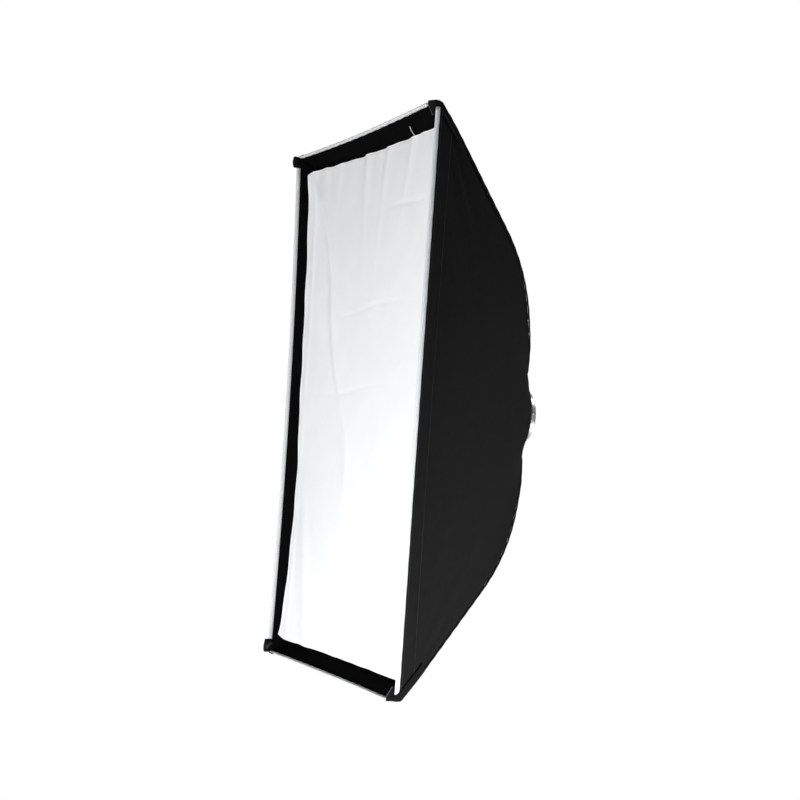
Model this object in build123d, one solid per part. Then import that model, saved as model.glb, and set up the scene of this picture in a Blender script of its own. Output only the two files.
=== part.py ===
from build123d import *
import math
import numpy as np
import os

# Rectangular softbox with a bayonet speed ring, in millimetres.
# The origin is on the ring's axis, in the plane where the adapter meets the light.
# +Y points back to the light, the diffuser faces -Y, +Z is up along the long side.

# ---- Driving dimensions ----
FRONT_WIDTH = 600.0
FRONT_HEIGHT = 914.0
RIM_Y = -320.0
RIM_TAPE_WIDTH = 8.0
RIM_TAPE_THICKNESS = 3.0
LONG_SIDE_BOW = 9.0
SHORT_SIDE_BOW = 4.0
LONG_SIDE_SET_BACK = 4.0
SHORT_SIDE_SET_BACK = 3.0

SEAM_LEAN = 42.3
SEAM_STRAIGHT = 267.0
SEAM_CURVE_RADIUS = 517.0
CUFF_RADIUS = 75.5
FABRIC = 1.5

ROD_RADIUS = 2.0
ROD_DEPTH = 10.5
ROD_START = 8.0
SLEEVE_RADIUS = 4.0
SLEEVE_BORE = 2.6
SLEEVE_START = 20.0
SOCKET_RADIUS = 4.0
SOCKET_OUTER_END = 75.8
SOCKET_INNER_END = 61.4
FIT_GAP = 0.05

POCKET_LENGTH = 76.0
POCKET_SIDE_WING = 9.0
POCKET_END_WING = 36.0
POCKET_THICKNESS = 2.2
POCKET_OVERHANG = 3.4
POCKET_CAP = 2.0
POCKET_CAP_GAP = 0.6
POCKET_TOE_RADIUS = 537.0
POCKET_TOE_DEPTH = 6.5
POCKET_TOE_SIZE = 90.0

DIFFUSER_SET_BACK = 26.0
DIFFUSER_THICKNESS = 1.5
DIFFUSER_HEM = 20.0
BAFFLE_SET_BACK = 150.0
BAFFLE_WIDTH = 340.0
BAFFLE_HEIGHT = 520.0
BAFFLE_HEM = 14.0
STRAP_WIDTH = 16.0

RING_RADIUS = 71.0
RING_FRONT_Y = -20.0
RING_REAR_Y = -1.5
RING_FLOOR_Y = -17.0
RING_LIP_Y = -5.7
RING_CHAMFER = 1.0
RING_GAP = 0.3
FLANGE_RADIUS = 60.0
FLANGE_FRONT_Y = -16.8
FLANGE_REAR_Y = -7.0
SEAT_OUTER_RADIUS = 54.0
SEAT_INNER_RADIUS = 50.0
SEAT_STEP = 1.0
BORE_RADIUS = 41.0
TUBE_RADIUS = 44.0
TUBE_LENGTH = 26.0
TUBE_CHAMFER = 0.8
LUG_RADIUS = 49.0
LUG_SPREAD = 50.0
LUG_FRONT_Y = 17.0
LUG_REAR_Y = 23.5
LUG_CHAMFER = 1.5
LUG_ANGLES = (-90.0, 30.0, 150.0)
RETAINER_RADIUS = 66.0
RETAINER_BORE = 45.0
SCREW_CIRCLE = 63.2
SCREW_RADIUS = 1.5
SCREW_TIP_Y = -10.0
SCREW_HEAD_RADIUS = 2.9
SCREW_HEAD_HEIGHT = 1.8
WASHER_INNER_RADIUS = 55.0
WASHER_OUTER_RADIUS = 59.8
WASHER_THICKNESS = 1.0
CUFF_REAR_Y = -1.8
CUFF_WIDTH = 5.6
CUFF_GAP = 0.4
CUFF_THICKNESS = 1.8

# ---- Worked out from the driving dimensions ----
HALF_WIDTH = FRONT_WIDTH / 2
HALF_HEIGHT = FRONT_HEIGHT / 2
HALF_DIAGONAL = math.hypot(HALF_WIDTH, HALF_HEIGHT)
DIAGONAL = math.degrees(math.atan2(HALF_HEIGHT, HALF_WIDTH))
WIDTH_SHARE = HALF_WIDTH / HALF_DIAGONAL
HEIGHT_SHARE = HALF_HEIGHT / HALF_DIAGONAL
LEAN = math.radians(SEAM_LEAN)
SEAM_START_R = HALF_DIAGONAL
SEAM_START_Y = RIM_Y + RIM_TAPE_WIDTH
KNEE_R = SEAM_START_R - SEAM_STRAIGHT * math.cos(LEAN)
KNEE_Y = SEAM_START_Y + SEAM_STRAIGHT * math.sin(LEAN)
CENTRE_R = KNEE_R - SEAM_CURVE_RADIUS * math.sin(LEAN)
CENTRE_Y = KNEE_Y - SEAM_CURVE_RADIUS * math.cos(LEAN)

# Which way each corner's pieces are mirrored from the upper right one.
CORNERS = {
    "upper_right": (),
    "upper_left": (Plane.YZ,),
    "lower_right": (Plane.XY,),
    "lower_left": (Plane.YZ, Plane.XY),
}


def save(node, shape):
    """Write one sub-part, named after the piece it is."""
    export_step(shape, f"parts/{node}.step")


def save_corners(node, shape):
    """Write a corner piece four times, mirrored from the upper right one."""
    for corner, planes in CORNERS.items():
        piece = shape
        for plane in planes:
            piece = mirror(piece, about=plane)
        save(f"{corner}_{node}", piece)


def in_seam_plane(radius, y):
    """Point at a radius from the axis, in the plane of the upper right seam."""
    return Vector(radius * WIDTH_SHARE, y, radius * HEIGHT_SHARE)


def seam(distance, depth=0.0):
    """Radius and Y of a seam, at a distance from its front end and a depth below it."""
    if distance <= SEAM_STRAIGHT:
        radius = SEAM_START_R - distance * math.cos(LEAN) - depth * math.sin(LEAN)
        y = SEAM_START_Y + distance * math.sin(LEAN) - depth * math.cos(LEAN)
        return radius, y
    lean = LEAN - (distance - SEAM_STRAIGHT) / SEAM_CURVE_RADIUS
    reach = SEAM_CURVE_RADIUS - depth
    return CENTRE_R + reach * math.sin(lean), CENTRE_Y + reach * math.cos(lean)


def seam_distance(radius, depth=0.0):
    """Distance along the curved part of a seam at which it has a given radius."""
    lean = math.asin((radius - CENTRE_R) / (SEAM_CURVE_RADIUS - depth))
    return SEAM_STRAIGHT + SEAM_CURVE_RADIUS * (LEAN - lean)


SEAM_LENGTH = seam_distance(CUFF_RADIUS)


def rod_line(start, end):
    """Straight run and arc of the rod's centre line, between two distances."""
    first = in_seam_plane(*seam(start, ROD_DEPTH))
    knee = in_seam_plane(*seam(SEAM_STRAIGHT, ROD_DEPTH))
    middle = in_seam_plane(*seam((SEAM_STRAIGHT + end) / 2, ROD_DEPTH))
    last = in_seam_plane(*seam(end, ROD_DEPTH))
    return Wire([Line(first, knee).edge(), ThreePointArc(knee, middle, last).edge()])


def round_bar(path, radius):
    """Round bar along a path."""
    section = Plane(origin=path @ 0, z_dir=path % 0) * Circle(radius)
    return sweep(section, path=path)


def straight_bar(start, end, radius):
    """Round bar between two points."""
    run = end - start
    return extrude(Plane(origin=start, z_dir=run) * Circle(radius), run.length)


def on_rod(start, end, radius, bore):
    """Short straight tube on the rod, between two distances from the seam's front end."""
    first = in_seam_plane(*seam(start, ROD_DEPTH))
    last = in_seam_plane(*seam(end, ROD_DEPTH))
    beyond = (last - first).normalized() * 5
    return straight_bar(first, last, radius) - straight_bar(first - beyond, last + beyond, bore)


# ---- Fabric shell ----
ROWS = 15
COLUMNS = 13
RELAX_STEPS = 1500
EDGE_CLEARANCE = 1.8
SIDES = ("right", "top", "left", "bottom")


def is_upright(side):
    """True for the two long panels, whose front edge runs along Z."""
    return side in ("right", "left")


def front_edge(side, step):
    """Point on the bowed front edge of a panel, step running from -1 to 1."""
    slack = 1 - step * step
    sign = 1 if side in ("right", "top") else -1
    if is_upright(side):
        x = sign * (HALF_WIDTH - LONG_SIDE_BOW * slack)
        return x, SEAM_START_Y + LONG_SIDE_SET_BACK * slack, step * HALF_HEIGHT
    z = sign * (HALF_HEIGHT - SHORT_SIDE_BOW * slack)
    return step * HALF_WIDTH, SEAM_START_Y + SHORT_SIDE_SET_BACK * slack, z


def cuff_edge(side, step):
    """Point on the round edge of a panel at the speed ring, step running from -1 to 1."""
    radius, y = seam(SEAM_LENGTH)
    spread = DIAGONAL if is_upright(side) else 90 - DIAGONAL
    sign = 1 if side in ("right", "top") else -1
    turn = math.radians(step * spread)
    along, across = sign * radius * math.cos(turn), radius * math.sin(turn)
    return (along, y, across) if is_upright(side) else (across, y, along)


def seam_edge(side, row, end):
    """Point beside a seam, where a panel's long edge is sewn, end being -1 or 1."""
    radius, y = seam(SEAM_LENGTH * row / (ROWS - 1))
    x, z = radius * HALF_WIDTH / HALF_DIAGONAL, radius * HALF_HEIGHT / HALF_DIAGONAL
    sign = 1 if side in ("right", "top") else -1
    if is_upright(side):
        return sign * x, y, end * (z - EDGE_CLEARANCE)
    return end * (x - EDGE_CLEARANCE), y, sign * z


def panel_grid(side):
    """Points of a taut panel: fixed along its four edges and relaxed between them."""
    steps = np.linspace(-1, 1, COLUMNS)
    grid = np.zeros((ROWS, COLUMNS, 3))
    for row in range(ROWS):
        left, right = np.array(seam_edge(side, row, -1)), np.array(seam_edge(side, row, 1))
        for column, step in enumerate(steps):
            grid[row, column] = left * (1 - step) / 2 + right * (1 + step) / 2
    for column in range(1, COLUMNS - 1):
        grid[0, column] = front_edge(side, steps[column])
        grid[-1, column] = cuff_edge(side, steps[column])
    for _ in range(RELAX_STEPS):
        around = grid[:-2, 1:-1] + grid[2:, 1:-1] + grid[1:-1, :-2] + grid[1:-1, 2:]
        grid[1:-1, 1:-1] = around / 4
    return grid


def inward_normals(grid):
    """Unit vectors square to a grid of points, pointing to the inside of the softbox."""
    normals = np.cross(np.gradient(grid, axis=0), np.gradient(grid, axis=1))
    normals /= np.linalg.norm(normals, axis=2)[:, :, None]
    middle = grid[ROWS // 4, grid.shape[1] // 2] * np.array([1, 0, 1])
    flip = np.sign((normals[ROWS // 4, grid.shape[1] // 2] * middle).sum())
    return -normals * flip


def skin(points):
    """Smooth face through a grid of points."""
    rows = [[tuple(point) for point in row] for row in points]
    return Face.make_surface_from_array_of_points(rows, tol=0.05)


def sheet_between(outer, inner):
    """Closed solid between two grids of points."""
    faces = [skin(outer), skin(inner)]
    outer_edges, inner_edges = faces[0].edges(), faces[1].edges()
    for edge in outer_edges:
        mate = min(inner_edges, key=lambda other: (other.center() - edge.center()).length)
        faces.append(Face.make_surface_from_curves(edge, mate))
    return Solid(Shell(faces))


def shell_panel(side):
    """One side of the black fabric shell."""
    grid = panel_grid(side)
    return sheet_between(grid, grid + inward_normals(grid) * FABRIC)


# ---- Front edge of the shell ----
CORNER_GAP = 12.0
TAPE_END_GAP = 39.0
BAND_GAP = 0.9
BAND_THICKNESS = 1.0
TAPE_GAP = 1.4
BAND_CORNER_GAP = 20.0
BAND_REACH = (0.12, 0.56, 1.0)


def rim_tape(side):
    """Tape folded over the front edge of one panel, bowed with it."""
    reach = 1 - (CORNER_GAP / HALF_HEIGHT if is_upright(side) else TAPE_END_GAP / HALF_WIDTH)
    sign = 1 if side in ("right", "top") else -1
    inward = Vector(-sign, 0, 0) if is_upright(side) else Vector(0, 0, -sign)
    shift = inward * (RIM_TAPE_THICKNESS / 2) - Vector(0, (RIM_TAPE_WIDTH + TAPE_GAP) / 2, 0)
    start, middle, end = (Vector(*front_edge(side, step)) + shift for step in (-reach, 0, reach))
    path = ThreePointArc(start, middle, end)
    section = Plane(origin=start, x_dir=inward, z_dir=path % 0)
    return sweep(section * Rectangle(RIM_TAPE_THICKNESS, RIM_TAPE_WIDTH - TAPE_GAP), path=path)


def hook_band(side):
    """Band of hook-and-loop tape on the inside of a panel, just behind its front edge."""
    grid = panel_grid(side)
    surface = grid + inward_normals(grid) * (FABRIC + BAND_GAP)
    half = HALF_HEIGHT if is_upright(side) else HALF_WIDTH
    reach = 1 - BAND_CORNER_GAP / half
    steps = np.linspace(-1, 1, COLUMNS)
    rows = []
    for share in BAND_REACH:
        row = surface[0] * (1 - share) + surface[1] * share
        columns = [np.interp(steps * reach, steps, row[:, axis]) for axis in range(3)]
        rows.append(np.stack(columns, axis=1))
    outer = np.array(rows)
    inward = inward_normals(grid)[0, COLUMNS // 2]
    return sheet_between(outer, outer + inward * BAND_THICKNESS)


def corner_pocket():
    """Webbing pocket folded over the upper right corner and down along its seam."""
    along = Vector(-math.cos(LEAN) * WIDTH_SHARE, math.sin(LEAN), -math.cos(LEAN) * HEIGHT_SHARE)
    facing = (along.cross(Vector(0, 0, 1)).normalized(), Vector(1, 0, 0).cross(along).normalized())
    wings = (along.cross(facing[0]), facing[1].cross(along))
    ridge = (facing[0] + facing[1]) / (1 + facing[0].dot(facing[1]))
    corner = in_seam_plane(*seam(0))
    inside = BAND_GAP
    outside = BAND_GAP + POCKET_THICKNESS
    reach = (POCKET_SIDE_WING, POCKET_END_WING)
    tips_in = [corner + wings[i] * reach[i] + facing[i] * inside for i in (0, 1)]
    tips_out = [corner + wings[i] * reach[i] + facing[i] * outside for i in (0, 1)]
    peak_in, peak_out = corner + ridge * inside, corner + ridge * outside
    outline = [tips_in[0], peak_in, tips_in[1], tips_out[1], peak_out, tips_out[0]]
    fold = Face(Wire.make_polygon(outline))
    filling = Face(Wire.make_polygon([tips_out[0], peak_out, tips_out[1]]))
    width, height = FRONT_WIDTH + 2 * POCKET_OVERHANG, FRONT_HEIGHT + 3 * POCKET_OVERHANG
    from_front = (Align.CENTER, Align.MIN, Align.CENTER)
    behind_rim = Pos(0, RIM_Y - 1, 0) * Box(width, FRONT_HEIGHT, height, align=from_front)
    cap_front = RIM_Y - POCKET_CAP_GAP - POCKET_CAP
    cap_slab = Pos(0, cap_front, 0) * Box(width, POCKET_CAP, height, align=from_front)
    outer_leg = extrude(fold, POCKET_LENGTH, dir=along) + extrude(fold, 2 * CORNER_GAP, dir=-along)
    core = extrude(filling, 2 * CORNER_GAP, dir=along) + extrude(filling, 2 * CORNER_GAP, dir=-along)
    toe_plane = Plane(origin=in_seam_plane(POCKET_TOE_RADIUS, RIM_Y), z_dir=in_seam_plane(1, 0))
    toe_size = (POCKET_TOE_SIZE, 2 * POCKET_TOE_DEPTH, POCKET_TOE_SIZE)
    toe_block = toe_plane * Box(*toe_size, align=(Align.CENTER, Align.CENTER, Align.MIN))
    toe = core & behind_rim & toe_block
    return (outer_leg & behind_rim) + (core & cap_slab) + toe


# ---- Front diffuser and inner baffle ----
HEM_THICKNESS = 1.2
CORNER_ROUND = 36.0


def recess_half(side, step, y):
    """Half size of the recess inside the hook bands, at a step along one side."""
    grid = panel_grid(side)
    column = round((step + 1) / 2 * (COLUMNS - 1))
    first, second = grid[0, column], grid[1, column]
    share = (y - first[1]) / (second[1] - first[1])
    point = first + (second - first) * share
    axis = 0 if is_upright(side) else 2
    steepness = abs(inward_normals(grid)[0, column][axis])
    inset = (FABRIC + 3 * BAND_GAP + BAND_THICKNESS) / steepness
    return abs(point[axis]) - inset


def diffuser_face(inset, y):
    """Outline of the diffuser, bowed along its sides like the recess that it fills."""
    half_x = {step: recess_half("right", step, y) - inset for step in (0, 1)}
    half_z = {step: recess_half("top", step, y) - inset for step in (0, 1)}
    x, z = half_x[1], half_z[1]
    edges = [
        ThreePointArc((x, y, -z), (half_x[0], y, 0), (x, y, z)),
        ThreePointArc((x, y, z), (0, y, half_z[0]), (-x, y, z)),
        ThreePointArc((-x, y, z), (-half_x[0], y, 0), (-x, y, -z)),
        ThreePointArc((-x, y, -z), (0, y, -half_z[0]), (x, y, -z)),
    ]
    face = Face(Wire([edge.edge() for edge in edges]))
    return face.fillet_2d(CORNER_ROUND, face.vertices())


def diffuser_sheet():
    """White front sheet, lying in the recess behind the rim."""
    y = RIM_Y + DIFFUSER_SET_BACK
    return extrude(diffuser_face(0, y), DIFFUSER_THICKNESS, dir=(0, 1, 0))


def diffuser_hem():
    """Hem of hook tape sewn round the back of the front sheet."""
    y = RIM_Y + DIFFUSER_SET_BACK + DIFFUSER_THICKNESS
    frame = diffuser_face(1, y) - diffuser_face(DIFFUSER_HEM, y)
    return extrude(frame, HEM_THICKNESS, dir=(0, 1, 0))


def upright_sheet(width, height, y, thickness):
    """Flat sheet with rounded corners, square to the axis, with its front face at y."""
    plane = Plane(origin=(0, y, 0), x_dir=(1, 0, 0), z_dir=(0, 1, 0))
    return extrude(plane * RectangleRounded(width, height, BAFFLE_HEM), thickness)


BAFFLE_Y = RIM_Y + BAFFLE_SET_BACK
CLIP_LENGTH = 9.0
CLIP_THICKNESS = 5.0
CLIP_ROUND = 1.5
LOOP_THICKNESS = 0.9
LOOP_LENGTH = 18.0
LOOP_CLEARANCE = 3.0


def baffle_sheet():
    """White inner sheet, hung in the middle of the softbox."""
    return upright_sheet(BAFFLE_WIDTH, BAFFLE_HEIGHT, BAFFLE_Y, HEM_THICKNESS)


def baffle_hem():
    """Binding sewn round the back of the inner sheet."""
    y = BAFFLE_Y + HEM_THICKNESS
    outer = upright_sheet(BAFFLE_WIDTH, BAFFLE_HEIGHT, y, HEM_THICKNESS)
    inner = (BAFFLE_WIDTH - 2 * BAFFLE_HEM, BAFFLE_HEIGHT - 2 * BAFFLE_HEM)
    return outer - upright_sheet(inner[0], inner[1], y - 1, HEM_THICKNESS + 2)


def strap_end():
    """Radius at which a baffle strap stops short of the rod's sleeve."""
    distance = (BAFFLE_Y - SEAM_START_Y + ROD_DEPTH * math.cos(LEAN)) / math.sin(LEAN)
    radius = seam(distance, ROD_DEPTH)[0]
    return radius - (SLEEVE_RADIUS + LOOP_THICKNESS) / math.sin(LEAN) - LOOP_CLEARANCE, distance


def flat_strap(start, end, y, width, thickness):
    """Flat strap pointing at the upper right corner, between two radii."""
    plane = Plane(origin=(0, y, 0), x_dir=in_seam_plane(1, 0), z_dir=(0, 1, 0))
    strip = Pos((start + end) / 2, 0) * Rectangle(end - start, width)
    return extrude(plane * strip, thickness)


def baffle_strap():
    """Elastic strap from a corner of the inner sheet towards the rod."""
    start = math.hypot(BAFFLE_WIDTH, BAFFLE_HEIGHT) / 2 - BAFFLE_HEM
    end = strap_end()[0] - CLIP_LENGTH
    return flat_strap(start, end, BAFFLE_Y - HEM_THICKNESS, STRAP_WIDTH, HEM_THICKNESS)


def baffle_clip():
    """Flat plastic hook on the end of a strap, which catches the loop on the sleeve."""
    end = strap_end()[0]
    front = BAFFLE_Y - CLIP_THICKNESS / 2 - HEM_THICKNESS / 2
    plate = flat_strap(end - CLIP_LENGTH, end, front, STRAP_WIDTH + 2, CLIP_THICKNESS)
    return fillet(plate.edges().filter_by(Axis.Y), CLIP_ROUND)


def baffle_loop():
    """Loop of webbing round the rod's sleeve that a baffle strap hooks into."""
    start = strap_end()[1] - LOOP_LENGTH / 2
    radius = SLEEVE_RADIUS + LOOP_THICKNESS
    return on_rod(start, start + LOOP_LENGTH, radius, SLEEVE_RADIUS + FIT_GAP)


# ---- Rods ----
TIP_START = 3.0
TIP_LENGTH = 14.0
TIP_WALL = 1.6
SLEEVE_END_GAP = 11.0
COLLAR_LENGTH = 8.0
COLLAR_WALL = 1.2
COLLAR_GAP = 0.8
SOCKET_GAP = 0.15


def rod():
    """Sprung steel rod, from the corner pocket into its socket in the ring."""
    return round_bar(rod_line(ROD_START, seam_distance(SOCKET_INNER_END + 1, ROD_DEPTH)), ROD_RADIUS)


def rod_tip():
    """Blind rubber cap on the front end of the rod."""
    first = in_seam_plane(*seam(TIP_START, ROD_DEPTH))
    last = in_seam_plane(*seam(TIP_START + TIP_LENGTH, ROD_DEPTH))
    blind = in_seam_plane(*seam(ROD_START - FIT_GAP, ROD_DEPTH))
    hole = straight_bar(blind, last + (last - blind), ROD_RADIUS + FIT_GAP)
    return straight_bar(first, last, ROD_RADIUS + TIP_WALL) - hole


def rod_sleeve():
    """Sewn tube of fabric that holds the rod against the seam."""
    path = rod_line(SLEEVE_START, seam_distance(SOCKET_OUTER_END + SLEEVE_END_GAP, ROD_DEPTH))
    return round_bar(path, SLEEVE_RADIUS) - round_bar(path, SLEEVE_BORE)


def rod_collar():
    """Crimped collar that stops the rod at the mouth of its socket."""
    end = seam_distance(SOCKET_OUTER_END + COLLAR_GAP, ROD_DEPTH)
    return on_rod(end - COLLAR_LENGTH, end, ROD_RADIUS + COLLAR_WALL, ROD_RADIUS + FIT_GAP)


def socket_bar(radius, extra=0.0):
    """Round bar where a socket sits in the ring, longer by extra at both ends."""
    outer = in_seam_plane(*seam(seam_distance(SOCKET_OUTER_END, ROD_DEPTH), ROD_DEPTH))
    inner = in_seam_plane(*seam(seam_distance(SOCKET_INNER_END, ROD_DEPTH), ROD_DEPTH))
    reach = (inner - outer).normalized() * extra
    return straight_bar(outer - reach, inner + reach, radius)


def rod_socket():
    """Steel bush pressed into the ring's wall for one rod."""
    return socket_bar(SOCKET_RADIUS) - socket_bar(ROD_RADIUS + SOCKET_GAP, extra=3)


# ---- Speed ring ----
def turned(points):
    """Turned part: an outline of radius and Y, spun round the axis."""
    outline = Face(Wire.make_polygon([Vector(radius, y, 0) for radius, y in points]))
    return revolve(outline, axis=Axis.Y)


def screw_places():
    """Where the retaining screws sit, on a circle round the axis."""
    for number in range(6):
        turn = math.radians(30 + 60 * number)
        yield SCREW_CIRCLE * math.cos(turn), SCREW_CIRCLE * math.sin(turn)


def screw_bars(radius, start_y, end_y):
    """One round bar at every retaining screw."""
    return [straight_bar(Vector(x, start_y, z), Vector(x, end_y, z), radius) for x, z in screw_places()]


def speed_ring():
    """Ring with a socket for each rod, turning freely on the adapter's flange."""
    ring = turned(
        [
            (FLANGE_RADIUS + RING_GAP, RING_FLOOR_Y),
            (FLANGE_RADIUS + RING_GAP, RING_LIP_Y),
            (SEAT_OUTER_RADIUS + 2 * RING_GAP, RING_LIP_Y),
            (SEAT_OUTER_RADIUS + 2 * RING_GAP, RING_REAR_Y),
            (RING_RADIUS - RING_CHAMFER, RING_REAR_Y),
            (RING_RADIUS, RING_REAR_Y - RING_CHAMFER),
            (RING_RADIUS, RING_FRONT_Y + RING_CHAMFER),
            (RING_RADIUS - RING_CHAMFER, RING_FRONT_Y),
            (RETAINER_RADIUS + RING_GAP, RING_FRONT_Y),
            (RETAINER_RADIUS + RING_GAP, RING_FLOOR_Y),
        ]
    )
    hole = socket_bar(SOCKET_RADIUS + FIT_GAP, extra=0.2)
    for planes in CORNERS.values():
        cutter = hole
        for plane in planes:
            cutter = mirror(cutter, about=plane)
        ring -= cutter
    for bar in screw_bars(SCREW_RADIUS + FIT_GAP, RING_FRONT_Y - 1, SCREW_TIP_Y + 0.5):
        ring -= bar
    return ring


def retaining_ring():
    """Flat ring screwed into the speed ring's front, which keeps the flange in."""
    rear = RING_FLOOR_Y - 0.1
    radii = (RETAINER_BORE, RETAINER_RADIUS)
    ring = turned([(radii[0], RING_FRONT_Y), (radii[1], RING_FRONT_Y), (radii[1], rear), (radii[0], rear)])
    for bar in screw_bars(SCREW_RADIUS + 0.2, RING_FRONT_Y - 1, RING_FLOOR_Y + 1):
        ring -= bar
    return ring


def retaining_screws():
    """Pan-head screws through the retaining ring, six separate solids."""
    heads = screw_bars(SCREW_HEAD_RADIUS, RING_FRONT_Y - SCREW_HEAD_HEIGHT, RING_FRONT_Y - FIT_GAP)
    shanks = screw_bars(SCREW_RADIUS, RING_FRONT_Y - SCREW_HEAD_HEIGHT / 2, SCREW_TIP_Y)
    return Compound([head + shank for head, shank in zip(heads, shanks)])


def friction_washer():
    """Nylon washer between the flange and the speed ring's rear lip."""
    rear = RING_LIP_Y - 0.1
    front = rear - WASHER_THICKNESS
    inner, outer = WASHER_INNER_RADIUS, WASHER_OUTER_RADIUS
    return turned([(inner, front), (outer, front), (outer, rear), (inner, rear)])


def bayonet_insert():
    """Turned aluminium adapter: flange, seat, tube and three bayonet lugs."""
    body = turned(
        [
            (BORE_RADIUS, FLANGE_FRONT_Y),
            (FLANGE_RADIUS, FLANGE_FRONT_Y),
            (FLANGE_RADIUS, FLANGE_REAR_Y),
            (SEAT_OUTER_RADIUS, FLANGE_REAR_Y),
            (SEAT_OUTER_RADIUS, 0),
            (SEAT_INNER_RADIUS, 0),
            (SEAT_INNER_RADIUS, -SEAT_STEP),
            (TUBE_RADIUS, -SEAT_STEP),
            (TUBE_RADIUS, TUBE_LENGTH - TUBE_CHAMFER),
            (TUBE_RADIUS - TUBE_CHAMFER, TUBE_LENGTH),
            (BORE_RADIUS, TUBE_LENGTH),
        ]
    )
    lug_points = [
        (TUBE_RADIUS - 1, LUG_FRONT_Y),
        (LUG_RADIUS, LUG_FRONT_Y),
        (LUG_RADIUS, LUG_REAR_Y - LUG_CHAMFER),
        (LUG_RADIUS - LUG_CHAMFER, LUG_REAR_Y),
        (TUBE_RADIUS - 1, LUG_REAR_Y),
    ]
    outline = Face(Wire.make_polygon([Vector(radius, y, 0) for radius, y in lug_points]))
    lug = revolve(outline, axis=Axis.Y, revolution_arc=LUG_SPREAD)
    middle = math.degrees(math.atan2(lug.center().Z, lug.center().X))
    for angle in LUG_ANGLES:
        body += lug.rotate(Axis.Y, middle - angle)
    return body


def cuff():
    """Elastic edge of the fabric, gripping the rim of the speed ring."""
    inner = RING_RADIUS + CUFF_GAP
    outer, front = inner + CUFF_THICKNESS, CUFF_REAR_Y - CUFF_WIDTH
    return turned([(inner, front), (outer, front), (outer, CUFF_REAR_Y), (inner, CUFF_REAR_Y)])


# ---- Every sub-part ----
if __name__ == "__main__":
    os.makedirs("parts", exist_ok=True)
    for name in SIDES:
        save(f"{name}_panel", shell_panel(name))
        save(f"{name}_rim_tape", rim_tape(name))
        save(f"{name}_hook_band", hook_band(name))
    save_corners("rod", rod())
    save_corners("rod_tip", rod_tip())
    save_corners("rod_sleeve", rod_sleeve())
    save_corners("rod_collar", rod_collar())
    save_corners("rod_socket", rod_socket())
    save_corners("corner_pocket", corner_pocket())
    save_corners("baffle_strap", baffle_strap())
    save_corners("baffle_clip", baffle_clip())
    save_corners("baffle_loop", baffle_loop())
    save("front_diffuser", diffuser_sheet())
    save("front_diffuser_hem", diffuser_hem())
    save("inner_baffle", baffle_sheet())
    save("inner_baffle_hem", baffle_hem())
    save("speed_ring", speed_ring())
    save("retaining_ring", retaining_ring())
    save("retaining_screws", retaining_screws())
    save("friction_washer", friction_washer())
    save("bayonet_insert", bayonet_insert())
    save("fabric_cuff", cuff())
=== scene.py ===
import bmesh
import bpy
import math
import numpy as np
from mathutils import Matrix, Quaternion, Vector


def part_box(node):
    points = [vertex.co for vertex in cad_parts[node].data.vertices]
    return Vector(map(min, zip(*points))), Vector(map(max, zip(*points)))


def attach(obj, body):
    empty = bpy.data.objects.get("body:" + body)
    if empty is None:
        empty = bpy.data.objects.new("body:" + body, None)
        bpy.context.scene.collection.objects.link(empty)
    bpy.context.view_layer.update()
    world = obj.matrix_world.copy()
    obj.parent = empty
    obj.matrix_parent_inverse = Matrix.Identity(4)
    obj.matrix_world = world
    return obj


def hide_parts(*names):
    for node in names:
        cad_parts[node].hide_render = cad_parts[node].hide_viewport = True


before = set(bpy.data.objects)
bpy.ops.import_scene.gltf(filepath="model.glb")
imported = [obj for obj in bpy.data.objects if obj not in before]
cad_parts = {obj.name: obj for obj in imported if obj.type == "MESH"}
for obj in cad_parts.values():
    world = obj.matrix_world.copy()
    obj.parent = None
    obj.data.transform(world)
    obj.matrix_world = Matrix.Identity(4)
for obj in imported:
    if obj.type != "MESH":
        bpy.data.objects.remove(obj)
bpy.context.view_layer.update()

# ---- Sizes, in metres ----
HALF_WIDTH = 0.300
HALF_HEIGHT = 0.457
RIM_Y = -0.320
TAPE_WIDTH = 0.0070
LONG_BOW, SHORT_BOW = 0.009, 0.002
LONG_SET_BACK, SHORT_SET_BACK = 0.004, 0.003
SEAM_START_Y = RIM_Y + 0.008
SEAM_LEAN = math.radians(42.3)
SEAM_STRAIGHT = 0.2670
SEAM_CURVE = 0.517
CUFF_RADIUS = 0.0755
FABRIC = 0.0012
ROD_DEPTH = 0.0105
DIFFUSER_SET_BACK = 0.0255
TWIST = 0.0065
CORNERS_DRAWN_IN = 0.0042
FULL_ROUND_RING, CUFF_ROLL = 0.0030, 0.0032

HALF_DIAGONAL = math.hypot(HALF_WIDTH, HALF_HEIGHT)
WIDTH_SHARE = HALF_WIDTH / HALF_DIAGONAL
HEIGHT_SHARE = HALF_HEIGHT / HALF_DIAGONAL
DIAGONAL = math.atan2(HALF_HEIGHT, HALF_WIDTH)
KNEE_R = HALF_DIAGONAL - SEAM_STRAIGHT * math.cos(SEAM_LEAN)
KNEE_Y = SEAM_START_Y + SEAM_STRAIGHT * math.sin(SEAM_LEAN)
CENTRE_R = KNEE_R - SEAM_CURVE * math.sin(SEAM_LEAN)
CENTRE_Y = KNEE_Y - SEAM_CURVE * math.cos(SEAM_LEAN)
CUFF_LEAN = math.asin((CUFF_RADIUS - CENTRE_R) / SEAM_CURVE)
SEAM_LENGTH = SEAM_STRAIGHT + SEAM_CURVE * (SEAM_LEAN - CUFF_LEAN)

SIDES = ("right", "left", "top", "bottom")
CORNERS = {"upper_right": (1, 1), "upper_left": (-1, 1), "lower_right": (1, -1), "lower_left": (-1, -1)}


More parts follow.
